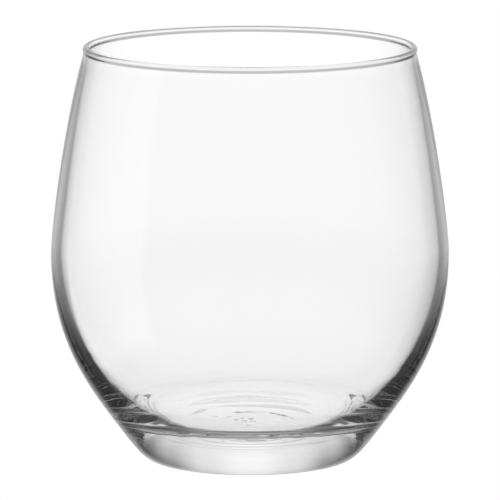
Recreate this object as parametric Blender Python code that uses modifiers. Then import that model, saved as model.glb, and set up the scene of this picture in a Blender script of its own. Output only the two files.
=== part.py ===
"""Rocks glass: a one-piece clear tumbler turned from one closed wall profile.

Metres, +Z up, axis on Z, standing on the floor at z = 0.
"""
import math

import bpy
from mathutils import Vector
from mathutils.geometry import interpolate_bezier

# outside of the glass
HEIGHT = 0.0924
RIM_RADIUS = 0.0369
BELLY_RADIUS = 0.0440
BELLY_HEIGHT = 0.0464
HEEL_RADIUS = 0.0279
HEEL_HEIGHT = 0.0061
FOOT_RADIUS = 0.0187
RIM_LEAN = math.radians(15.7)
FOOT_TAPER = math.radians(36.7)

# thickness of the glass at the rim, at the belly and under the floor
RIM_WALL = 0.00095
BELLY_WALL = 0.0021
FLOOR_WALL = 0.0104

# floor of the bowl, a little higher in the middle, its rounded corner and the slope of the wall above it
FLOOR_RADIUS = 0.0258
FLOOR_RISE = 0.0003
CORNER_ROUND = 0.0027
CORNER_SLOPE = math.radians(44.2)

# lip bead: how far it stands out, how far it rolls under and where it has faded into the wall
LIP_OUT = 0.00055
LIP_ROLL = math.radians(30)
LIP_DROP = 0.0018

# bearing ring and the hollow under the foot
RING_WIDTH = 0.0040
PUSH_UP = 0.0008
PUSH_SLOPE = math.radians(8)

TURN_STEPS = 80

for old in list(bpy.data.objects):
    bpy.data.objects.remove(old, do_unlink=True)

home = bpy.data.collections.new("rocks_glass")
bpy.context.scene.collection.children.link(home)


def sweep(start, start_way, start_pull, end, end_way, end_pull, count):
    """Smooth curve between two points, each pull a share of the chord."""
    chord = (end - start).length
    first = start + start_way * (start_pull * chord)
    last = end - end_way * (end_pull * chord)
    return interpolate_bezier(start, first, last, end, count)


def arc(centre, radius, start, end, count):
    """Points of an arc from one angle to the other."""
    steps = [start + (end - start) * i / (count - 1) for i in range(count)]
    return [centre + Vector((math.cos(a), 0, math.sin(a))) * radius for a in steps]


level_out = Vector((1, 0, 0))
plumb_up = Vector((0, 0, 1))

# lip bead, flush with the inside of the wall and fading into its outside
lip_radius = (RIM_WALL + LIP_OUT) / 2
lip = Vector((RIM_RADIUS - lip_radius, 0, HEIGHT - lip_radius))
rim_down = Vector((math.sin(RIM_LEAN), 0, -math.cos(RIM_LEAN)))
rim_out = Vector((math.cos(RIM_LEAN), 0, math.sin(RIM_LEAN)))
neck_in = lip - rim_out * lip_radius
bead_end = lip + (rim_out * math.cos(LIP_ROLL) + rim_down * math.sin(LIP_ROLL)) * lip_radius
bead_way = rim_down * math.cos(LIP_ROLL) - rim_out * math.sin(LIP_ROLL)
neck_out = lip + rim_out * (lip_radius - LIP_OUT) + rim_down * LIP_DROP

# outside stations, from the belly to the foot
belly_out = Vector((BELLY_RADIUS, 0, BELLY_HEIGHT))
heel = Vector((HEEL_RADIUS, 0, HEEL_HEIGHT))
taper_down = Vector((-math.sin(FOOT_TAPER), 0, -math.cos(FOOT_TAPER)))
foot = Vector((FOOT_RADIUS, 0, 0))

# hollow under the foot, inside the bearing ring
ring_in = foot - level_out * RING_WIDTH
push_way = Vector((-math.cos(PUSH_SLOPE), 0, math.sin(PUSH_SLOPE)))
push_mid = plumb_up * PUSH_UP

# inside stations, from the floor to the belly
floor_mid = push_mid + plumb_up * FLOOR_WALL
corner = floor_mid + level_out * FLOOR_RADIUS - plumb_up * FLOOR_RISE
corner_up = Vector((math.cos(CORNER_SLOPE), 0, math.sin(CORNER_SLOPE)))
floor_way = Vector((FLOOR_RADIUS, 0, -2 * FLOOR_RISE)).normalized()
floor_end = corner - floor_way * CORNER_ROUND
bowl_start = corner + corner_up * CORNER_ROUND
belly_in = belly_out - level_out * BELLY_WALL

# one closed run: floor, inside wall, lip, outside wall, heel, ring, hollow
stretches = [
    sweep(floor_mid, level_out, 0.33, floor_end, floor_way, 0.33, 4),
    sweep(floor_end, floor_way, 0.36, bowl_start, corner_up, 0.36, 7),
    sweep(bowl_start, corner_up, 0.33, belly_in, plumb_up, 0.37, 13),
    sweep(belly_in, plumb_up, 0.14, neck_in, -rim_down, 0.16, 9),
    arc(lip, lip_radius, math.pi + RIM_LEAN, RIM_LEAN - LIP_ROLL, 11),
    sweep(bead_end, bead_way, 0.4, neck_out, rim_down, 0.4, 5),
    sweep(neck_out, rim_down, 0.33, belly_out, -plumb_up, 0.13, 9),
    sweep(belly_out, -plumb_up, 0.46, heel, taper_down, 0.29, 11),
    sweep(heel, taper_down, 0.66, foot, -level_out, 0.33, 8),
    sweep(ring_in, push_way, 0.36, push_mid, -level_out, 0.39, 5),
]
profile = []
for stretch in stretches:
    for point in stretch:
        if not profile or (point - profile[-1]).length > 1e-7:
            profile.append(point)

mesh = bpy.data.meshes.new("glass_body")
edges = [(i, i + 1) for i in range(len(profile) - 1)]
mesh.from_pydata([tuple(point) for point in profile], edges, [])
glass = bpy.data.objects.new("glass_body", mesh)
home.objects.link(glass)

turn = glass.modifiers.new("turn", "SCREW")
turn.axis = "Z"
turn.angle = 2 * math.pi
turn.steps = TURN_STEPS
turn.render_steps = TURN_STEPS
turn.use_merge_vertices = True
turn.merge_threshold = 0.00001
turn.use_smooth_shade = True

clear = bpy.data.materials.new("clear_glass")
clear.use_nodes = True
shader = clear.node_tree.nodes["Principled BSDF"]
shader.inputs["Base Color"].default_value = (0.96, 0.97, 0.97, 1)
shader.inputs["Roughness"].default_value = 0.03
shader.inputs["IOR"].default_value = 1.52
shader.inputs["Transmission Weight"].default_value = 1.0
shader.inputs["Alpha"].default_value = 0.35
mesh.materials.append(clear)
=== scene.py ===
import math

import bmesh
import bpy
from mathutils import Matrix, Vector, noise
from mathutils.geometry import interpolate_bezier


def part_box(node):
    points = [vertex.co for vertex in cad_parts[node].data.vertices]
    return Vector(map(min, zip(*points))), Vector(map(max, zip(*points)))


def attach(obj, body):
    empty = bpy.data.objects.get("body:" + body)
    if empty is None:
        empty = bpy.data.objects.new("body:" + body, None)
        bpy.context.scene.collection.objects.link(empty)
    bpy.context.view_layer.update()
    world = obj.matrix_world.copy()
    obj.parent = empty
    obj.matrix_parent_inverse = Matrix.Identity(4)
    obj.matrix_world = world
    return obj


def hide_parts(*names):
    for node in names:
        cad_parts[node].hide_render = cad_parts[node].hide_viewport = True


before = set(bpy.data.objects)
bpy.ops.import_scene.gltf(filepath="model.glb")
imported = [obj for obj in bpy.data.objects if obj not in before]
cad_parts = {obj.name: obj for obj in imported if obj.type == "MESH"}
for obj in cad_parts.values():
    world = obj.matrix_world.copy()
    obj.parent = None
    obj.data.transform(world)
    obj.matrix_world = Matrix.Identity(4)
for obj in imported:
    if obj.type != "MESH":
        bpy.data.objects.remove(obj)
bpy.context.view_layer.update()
lowCorner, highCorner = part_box("glass_body")
print("frame loaded:", sorted(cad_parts))

scene = bpy.context.scene
home = bpy.data.collections.new("rocksGlass")
scene.collection.children.link(home)

# the glass, metres and degrees; height and belly width come from the frame
# a stretch of the profile is how hard its two ends pull, as shares of the chord, and its number of points
glassShape = {
    "rimRadius": 0.0369, "rimWall": 0.00095, "rimLean": 15.7,
    "lipOut": 0.00045, "lipDrop": 0.001, "lipRoll": 30, "lipPoints": 24,
    "bellyHeight": 0.0464, "bellyWall": 0.0021,
    "heelRadius": 0.0279, "heelHeight": 0.0061, "footRadius": 0.0187, "footTaper": 36.7,
    "floorLevel": 0.0112, "floorRadius": 0.0258, "floorRise": 0.0003,
    "cornerRound": 0.0027, "cornerSlope": 44.2,
    "ringWidth": 0.0040, "ringPoints": 5, "pushUp": 0.0003, "pushSlope": 2.5,
    "stretches": {
        "floor": (0.33, 0.33, 64), "corner": (0.36, 0.36, 24), "bowl": (0.33, 0.37, 56),
        "neck": (0.14, 0.16, 26), "bead": (0.4, 0.4, 10), "shoulder": (0.33, 0.13, 26),
        "side": (0.46, 0.29, 40), "heel": (0.66, 0.33, 28), "hollow": (0.36, 0.39, 64),
    },
    "turnSteps": 256, "mergeWithin": 0.000001,
}


def sweepPoints(start, startWay, end, endWay, stretch):
    startPull, endPull, count = stretch
    chord = (end - start).length
    return interpolate_bezier(start, start + startWay * startPull * chord,
                              end - endWay * endPull * chord, end, count)


def arcPoints(centre, radius, start, end, count):
    angles = [start + (end - start) * i / (count - 1) for i in range(count)]
    return [centre + Vector((math.cos(a), 0, math.sin(a))) * radius for a in angles]


def linePoints(start, end, count):
    return [start.lerp(end, i / (count - 1)) for i in range(count)]


def wallProfile(s):
    out, up = Vector((1, 0, 0)), Vector((0, 0, 1))
    lean, taper, turn = (math.radians(s[k]) for k in ("rimLean", "footTaper", "lipRoll"))
    slope, push = math.radians(s["cornerSlope"]), math.radians(s["pushSlope"])
    # lip bead, flush with the inside of the wall
    lipRadius = (s["rimWall"] + s["lipOut"]) / 2
    lip = Vector((s["rimRadius"] - lipRadius, 0, highCorner.z - lipRadius))
    rimDown = Vector((math.sin(lean), 0, -math.cos(lean)))
    rimOut = Vector((math.cos(lean), 0, math.sin(lean)))
    neckIn = lip - rimOut * lipRadius
    beadEnd = lip + (rimOut * math.cos(turn) + rimDown * math.sin(turn)) * lipRadius
    beadWay = rimDown * math.cos(turn) - rimOut * math.sin(turn)
    neckOut = lip + rimOut * (lipRadius - s["lipOut"]) + rimDown * s["lipDrop"]
    # belly, heel and foot
    bellyOut = Vector((highCorner.x, 0, s["bellyHeight"]))
    bellyIn = bellyOut - out * s["bellyWall"]
    heel = Vector((s["heelRadius"], 0, s["heelHeight"]))
    taperDown = Vector((-math.sin(taper), 0, -math.cos(taper)))
    foot = Vector((s["footRadius"], 0, lowCorner.z))
    ringIn = foot - out * s["ringWidth"]
    pushWay = Vector((-math.cos(push), 0, math.sin(push)))
    pushMid = up * (lowCorner.z + s["pushUp"])
    # floor of the bowl and its rounded corner
    floorMid = up * (lowCorner.z + s["floorLevel"])
    corner = floorMid + out * s["floorRadius"] - up * s["floorRise"]
    floorWay = Vector((s["floorRadius"], 0, -2 * s["floorRise"])).normalized()
    cornerUp = Vector((math.cos(slope), 0, math.sin(slope)))
    floorEnd, bowlStart = corner - floorWay * s["cornerRound"], corner + cornerUp * s["cornerRound"]
    stretch = s["stretches"]
    runs = [
        sweepPoints(floorMid, out, floorEnd, floorWay, stretch["floor"]),
        sweepPoints(floorEnd, floorWay, bowlStart, cornerUp, stretch["corner"]),
        sweepPoints(bowlStart, cornerUp, bellyIn, up, stretch["bowl"]),
        sweepPoints(bellyIn, up, neckIn, -rimDown, stretch["neck"]),
        arcPoints(lip, lipRadius, math.pi + lean, lean - turn, s["lipPoints"]),
        sweepPoints(beadEnd, beadWay, neckOut, rimDown, stretch["bead"]),
        sweepPoints(neckOut, rimDown, bellyOut, -up, stretch["shoulder"]),
        sweepPoints(bellyOut, -up, heel, taperDown, stretch["side"]),
        sweepPoints(heel, taperDown, foot, -out, stretch["heel"]),
        linePoints(foot, ringIn, s["ringPoints"]),
        sweepPoints(ringIn, pushWay, pushMid, -out, stretch["hollow"]),
    ]
    points = []
    for run in runs:
        points += [p for p in run if not points or (p - points[-1]).length > s["mergeWithin"]]
    return points


# flow marks of the cooled glass: slow streaks on the floor, the lower wall and the hollow
# the normal tells the places apart: inside it points up past "tilt" and out no further than "outward",
# on the floor it points up past "level" and in the hollow down past it
flowMarks = {
    "floor": {"height": 0.000010, "length": 0.0042, "arms": 1.6, "twist": 130, "seed": 3},
    "hollow": {"height": 0.000016, "length": 0.0036, "arms": 1.3, "twist": 190, "seed": 11},
    "armReach": 0.006, "noiseFall": 0.8, "noiseStep": 2.1, "noiseLayers": 2,
    "wallFade": (0.021, 0.034), "hollowFade": (0.0138, 0.0120),
    "tilt": 0.02, "outward": 0.2, "level": 0.9,
}
# a whorl of rings on the floor, in front of the axis, uneven in strength and fading out over "reach"
whorl = {
    "middle": (-0.0006, -0.0215), "reach": (0.0170, 0.0225), "pitch": 0.0058, "height": 0.00016,
    "swirl": 1.0, "wobble": 0.0009, "strength": 0.55, "unevenness": 0.9, "patch": 1.3, "seed": 8,
}
# moulded dots under the foot, rows of (distance from the axis, degrees round)
mouldDots = {
    "radius": 0.00060, "height": 0.00014,
    "rows": ((0.0091, (-31, -22, -9, 4)), (0.0076, (-36, -14, 2))),
}


def fade(value, start, end):
    share = min(max((value - start) / (end - start), 0), 1)
    return share * share * (3 - 2 * share)


def flowHeight(point, marks, side):
    s = marks[side]
    reach = math.hypot(point.x, point.y)
    angle = math.atan2(point.y, point.x) + s["twist"] * reach
    arms = s["arms"] * min(reach / marks["armReach"], 1)
    along = s["seed"] + (reach + point.z) / s["length"]
    spot = Vector((math.cos(angle) * arms, math.sin(angle) * arms, along))
    return s["height"] * noise.fractal(spot, marks["noiseFall"], marks["noiseStep"], marks["noiseLayers"])


def whorlHeight(point, s):
    away = Vector((point.x - s["middle"][0], point.y - s["middle"][1], 0))
    angle = math.atan2(away.y, away.x)
    around = Vector((math.cos(angle), math.sin(angle), s["seed"])) * s["patch"]
    bent = away.length + s["wobble"] * noise.noise(around) + s["swirl"] * s["pitch"] * angle / math.tau
    uneven = noise.noise(around + Vector((0, 0, away.length / s["pitch"])))
    strength = s["strength"] + s["unevenness"] * uneven
    ripple = math.sin(math.tau * bent / s["pitch"])
    return s["height"] * strength * ripple * (1 - fade(away.length, *s["reach"]))


def dotSpot(distance, degrees):
    angle = math.radians(degrees)
    return Vector((distance * math.sin(angle), -distance * math.cos(angle), 0))


def markGlass(bm, marks, rings, dots):
    bm.normal_update()
    spots = [dotSpot(distance, degrees) for distance, row in dots["rows"] for degrees in row]
    for vert in bm.verts:
        flat = Vector((vert.co.x, vert.co.y, 0))
        reach = flat.length
        inside = vert.normal.z > marks["tilt"] and vert.normal.dot(flat) <= marks["outward"] * reach
        if inside and vert.co.z < marks["wallFade"][1]:
            push = flowHeight(vert.co, marks, "floor") * (1 - fade(vert.co.z, *marks["wallFade"]))
            if vert.normal.z > marks["level"]:
                push += whorlHeight(vert.co, rings)
            vert.co += vert.normal * push
        elif vert.normal.z < -marks["level"] and reach < marks["hollowFade"][0]:
            push = flowHeight(vert.co, marks, "hollow") * fade(reach, *marks["hollowFade"])
            near = min((flat - spot).length for spot in spots) / dots["radius"]
            push += dots["height"] * max(1 - near * near, 0) ** 2
            vert.co += vert.normal * push


def blowGlass(s):
    bm = bmesh.new()
    ring = [bm.verts.new(p) for p in wallProfile(s)]
    wall = [bm.edges.new(pair) for pair in zip(ring, ring[1:])]
    bmesh.ops.spin(bm, geom=ring + wall, cent=(0, 0, 0), axis=(0, 0, 1), dvec=(0, 0, 0),
                   angle=math.tau, steps=s["turnSteps"], use_merge=True)
    bmesh.ops.remove_doubles(bm, verts=bm.verts, dist=s["mergeWithin"])
    bmesh.ops.recalc_face_normals(bm, faces=bm.faces)
    markGlass(bm, flowMarks, whorl, mouldDots)
    for face in bm.faces:
        face.smooth = True
    mesh = bpy.data.meshes.new("glassBody")
    bm.to_mesh(mesh)
    bm.free()
    piece = bpy.data.objects.new("glassBody", mesh)
    home.objects.link(piece)
    return piece


glass = blowGlass(glassShape)
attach(glass, "root")
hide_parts("glass_body")
print("glass blown:", len(glass.data.polygons), "faces")

# clear fire-polished glass: long faint streaks, a trace of haze between them
clearFinish = {
    "tint": (0.997, 0.997, 0.997, 1), "ior": 1.52,
    "stretch": (1, 1, 0.25), "grain": 90, "haze": (0.0, 0.012), "ripple": 0.000003,
}


def clearGlass(s):
    material = bpy.data.materials.new("clearGlass")
    material.use_nodes = True
    tree = material.node_tree
    shader = tree.nodes["Principled BSDF"]
    shader.inputs["Base Color"].default_value = s["tint"]
    shader.inputs["IOR"].default_value = s["ior"]
    shader.inputs["Transmission Weight"].default_value = 1.0
    spread = tree.nodes.new("ShaderNodeMapping")
    spread.inputs["Scale"].default_value = s["stretch"]
    tree.links.new(tree.nodes.new("ShaderNodeTexCoord").outputs["Object"], spread.inputs["Vector"])
    streaks = tree.nodes.new("ShaderNodeTexNoise")
    streaks.inputs["Scale"].default_value = s["grain"]
    tree.links.new(spread.outputs[0], streaks.inputs["Vector"])
    haze = tree.nodes.new("ShaderNodeMapRange")
    haze.inputs["To Min"].default_value, haze.inputs["To Max"].default_value = s["haze"]
    tree.links.new(streaks.outputs["Fac"], haze.inputs["Value"])
    tree.links.new(haze.outputs["Result"], shader.inputs["Roughness"])
    bump = tree.nodes.new("ShaderNodeBump")
    bump.inputs["Distance"].default_value = s["ripple"]
    tree.links.new(streaks.outputs["Fac"], bump.inputs["Height"])
    tree.links.new(bump.outputs["Normal"], shader.inputs["Normal"])
    return material


glass.data.materials.append(clearGlass(clearFinish))
print("glass finished")

# brightness of the rooms: columns by degrees aside of "aim", each a run of (degrees up, brightness)
# which room light sees depends on its path: how many faces it passed and how often it was mirrored
# the first two are columns that are used twice
oftenAhead = ((-45, 0.55), (-28, 0.36), (-14, 0.22), (-8, 0.1), (0, 0.35), (30, 0.55), (60, 0.5))
baseAside = ((-14, 0.85), (25, 0.9), (31, 0.12))
rooms = {
    "lip": {"aim": 0, "columns": (
        (0, ((-75, 0.1), (-69, 0.93), (-52, 0.9), (-45, 0.3), (-35, 0.35), (-27, 0.6),
             (-20, 0.88), (-9, 1.05), (-2, 1.04), (5, 0.6), (16, 0.5))),)},
    "through": {"aim": -3, "columns": (
        (10, ((-66, 0.0), (-60, 0.89), (-24, 0.91), (-14, 0.98),
              (-8, 1.06), (-3, 0.98), (2, 0.5), (16, 0.6))),
        (20, ((-40, 0.88), (-27, 0.98), (-20, 0.74), (-14, 0.7), (-4, 0.87), (2, 0.5), (16, 0.6))),
        (30, ((-40, 0.87), (-27, 0.9), (-14, 0.76), (-4, 0.83), (2, 0.5), (16, 0.6))),
        (100, ((-40, 0.93), (-14, 0.97), (6, 0.95), (20, 0.8))))},
    "once": {"aim": 0, "columns": (
        (2, ((-60, 0.6), (-48, 0.58), (-36, 0.15), (-27, 0.3),
             (-8, 0.86), (7, 0.97), (24, 0.5), (45, 0.54))),
        (14, ((-60, 0.6), (-46, 0.5), (-36, 0.05), (-22, 0.02),
              (-14, 0.48), (-4, 0.7), (10, 0.82), (24, 0.6))),
        (29, ((-62, 0.8), (-46, 0.75), (-36, 0.05), (-27, 0.06),
              (-20, 0.22), (1, 0.26), (14, 0.66), (24, 0.6))),
        (44, ((-60, 0.9), (-36, 0.95), (-20, 0.5), (-9, 0.28), (2, 0.08), (10, 0.1), (22, 0.35))))},
    "twice": {"aim": 0, "columns": (
        (15, ((-50, 0.8), (-30, 0.7), (-12, 0.86), (0, 0.6), (12, 0.48), (40, 0.48))),
        (35, ((-30, 0.7), (-9, 0.65), (0, 0.55), (14, 0.42), (24, 0.4), (45, 0.55))),
        (70, ((-30, 0.85), (30, 0.92))))},
    "often": {"aim": 0, "columns": (
        (14, oftenAhead),
        (40, ((-36, 0.4), (-26, 0.42), (-14, 0.28), (-4, 0.16),
              (2, 0.03), (24, 0.02), (45, 0.12), (62, 0.2))))},
    "base": {"aim": 0, "columns": (
        (14, oftenAhead),
        (45, ((-36, 0.4), (-14, 0.28), (2, 0.03), (24, 0.04), (62, 0.2))),
        (70, baseAside),
        (90, baseAside),
        (96, ((-14, 0.85), (35, 0.9), (41, 0.12))),
        (103, ((-14, 0.1), (24, 0.03), (62, 0.1))))},
    "front": {"aim": 0, "columns": (
        (10, ((-60, 0.75), (-30, 0.7), (-9, 0.55), (0, 1.0))),
        (28, ((-65, 0.8), (-46, 0.3), (-36, 0.05), (-18, 0.06), (-12, 0.16), (-5, 0.8), (2, 1.05))))},
}
# counts that part the paths: with no face passed the outer face mirrored the light, with two it came
# through the lip or one wall, and with more through more glass
# "mirrored" says past which count of mirrorings a room takes over
paths = {"outerFace": 0.5, "oneWall": 2.5, "mirrored": ((0.5, "once"), (1.5, "twice"), (2.5, "often"))}
# what the outer face mirrors aside of the room "front": a softbox on the left and a plain wall elsewhere
# "white" is the backdrop that the camera sees
front = {
    "from": (55, 72), "wall": 0.55, "box": 1.3,
    "boxEdge": (-46, -50), "boxEnd": (-118, -113), "boxFoot": (-40, -30), "white": 1.0,
}


def plug(tree, socket, value):
    if isinstance(value, (int, float)):
        socket.default_value = value
    else:
        tree.links.new(value, socket)


def addMath(tree, kind, *values):
    node = tree.nodes.new("ShaderNodeMath")
    node.operation = kind
    for socket, value in zip(node.inputs, values):
        plug(tree, socket, value)
    return node.outputs[0]


def addRamp(tree, value, start, end):
    node = tree.nodes.new("ShaderNodeMapRange")
    node.interpolation_type = "SMOOTHSTEP"
    for name, given in (("Value", value), ("From Min", start), ("From Max", end)):
        plug(tree, node.inputs[name], given)
    return node.outputs["Result"]


def addMix(tree, share, first, second):
    node = tree.nodes.new("ShaderNodeMix")
    for socket, value in zip((node.inputs[0], node.inputs[2], node.inputs[3]), (share, first, second)):
        plug(tree, socket, value)
    return node.outputs[0]


def addStops(tree, degrees, stops):
    node = tree.nodes.new("ShaderNodeValToRGB")
    # the ramp runs from straight down, -90 degrees, to straight up, 90
    tree.links.new(addMath(tree, "MULTIPLY_ADD", degrees, 1 / 180, 0.5), node.inputs["Fac"])
    elements = node.color_ramp.elements
    while len(elements) < len(stops):
        elements.new(1)
    for element, (height, light) in zip(elements, stops):
        element.position = (height + 90) / 180
        element.color = (light, light, light, 1)
    return node.outputs["Color"]


def addRoom(tree, height, turn, room):
    away = addMath(tree, "ABSOLUTE", addMath(tree, "SUBTRACT", turn, room["aim"]))
    last, seen = room["columns"][0][0], addStops(tree, height, room["columns"][0][1])
    for aside, stops in room["columns"][1:]:
        seen = addMix(tree, addRamp(tree, away, last, aside), seen, addStops(tree, height, stops))
        last = aside
    return seen


def addFront(tree, height, turn, room, s):
    aside = addRamp(tree, addMath(tree, "ABSOLUTE", turn), *s["from"])
    faced = addMix(tree, aside, addRoom(tree, height, turn, room), s["wall"])
    box = addMath(tree, "MULTIPLY", addRamp(tree, turn, *s["boxEdge"]), addRamp(tree, turn, *s["boxEnd"]))
    box = addMath(tree, "MULTIPLY", box, addRamp(tree, height, *s["boxFoot"]))
    return addMix(tree, box, faced, s["box"])


def lightRoom(rooms, paths, front):
    world = bpy.data.worlds.new("studioRoom")
    world.use_nodes = True
    tree = world.node_tree
    split = tree.nodes.new("ShaderNodeSeparateXYZ")
    tree.links.new(tree.nodes.new("ShaderNodeTexCoord").outputs["Generated"], split.inputs[0])
    # degrees up, and degrees round from straight behind the glass, left of the camera negative
    height = addMath(tree, "MULTIPLY", addMath(tree, "ARCSINE", split.outputs["Z"]), 180 / math.pi)
    turn = addMath(tree, "ARCTAN2", split.outputs["X"], split.outputs["Y"])
    turn = addMath(tree, "MULTIPLY", turn, 180 / math.pi)
    light = tree.nodes.new("ShaderNodeLightPath")
    passed, mirrored = light.outputs["Transmission Depth"], light.outputs["Glossy Depth"]
    pastWall = addMath(tree, "GREATER_THAN", passed, paths["oneWall"])
    seen = addMix(tree, pastWall, addRoom(tree, height, turn, rooms["lip"]),
                  addRoom(tree, height, turn, rooms["through"]))
    for least, name in paths["mirrored"]:
        deep = addMath(tree, "GREATER_THAN", mirrored, least)
        seen = addMix(tree, deep, seen, addRoom(tree, height, turn, rooms[name]))
    # the light mirrored most often that also passed more than one wall, as in the base under the floor
    inBase = addMath(tree, "MULTIPLY", deep, pastWall)
    seen = addMix(tree, inBase, seen, addRoom(tree, height, turn, rooms["base"]))
    faced = addFront(tree, height, turn, rooms["front"], front)
    seen = addMix(tree, addMath(tree, "LESS_THAN", passed, paths["outerFace"]), seen, faced)
    seen = addMix(tree, light.outputs["Is Camera Ray"], seen, front["white"])
    tree.links.new(seen, tree.nodes["Background"].inputs["Color"])
    scene.world = world


lightRoom(rooms, paths, front)
print("room lit")

# white table, seen by the camera only, so that it leaves the light in the glass alone
table = {"side": 6.0, "drop": 0.0002}


def layTable(s):
    bm = bmesh.new()
    bmesh.ops.create_grid(bm, x_segments=1, y_segments=1, size=s["side"] / 2,
                          matrix=Matrix.Translation((0, 0, lowCorner.z - s["drop"])))
    mesh = bpy.data.meshes.new("tableTop")
    bm.to_mesh(mesh)
    bm.free()
    top = bpy.data.objects.new("tableTop", mesh)
    scene.collection.objects.link(top)
    paper = bpy.data.materials.new("whiteTable")
    paper.use_nodes = True
    tree = paper.node_tree
    tree.nodes.clear()
    glow = tree.nodes.new("ShaderNodeEmission")
    end = tree.nodes.new("ShaderNodeOutputMaterial")
    tree.links.new(glow.outputs[0], end.inputs["Surface"])
    mesh.materials.append(paper)
    top.visible_glossy = top.visible_transmission = top.visible_diffuse = top.visible_shadow = False


layTable(table)
print("table laid")

# camera at the photograph's height and distance, and enough bounces for light caught in the base
shot = {"back": 1.60562, "height": 0.29781, "tilt": 0.155053, "lens": 528.74, "sensor": 36, "bounces": 32}
lensData = bpy.data.cameras.new("shotCamera")
lensData.sensor_width, lensData.lens = shot["sensor"], shot["lens"]
camera = bpy.data.objects.new("shotCamera", lensData)
camera.location = (0, -shot["back"], shot["height"])
camera.rotation_euler = (math.pi / 2 - shot["tilt"], 0, 0)
scene.collection.objects.link(camera)
scene.camera = camera

scene.view_settings.view_transform = "Standard"
scene.cycles.max_bounces = shot["bounces"]
scene.cycles.glossy_bounces = scene.cycles.transmission_bounces = shot["bounces"]
scene.cycles.caustics_reflective = scene.cycles.caustics_refractive = True
scene.cycles.blur_glossy = 0
print("camera set")
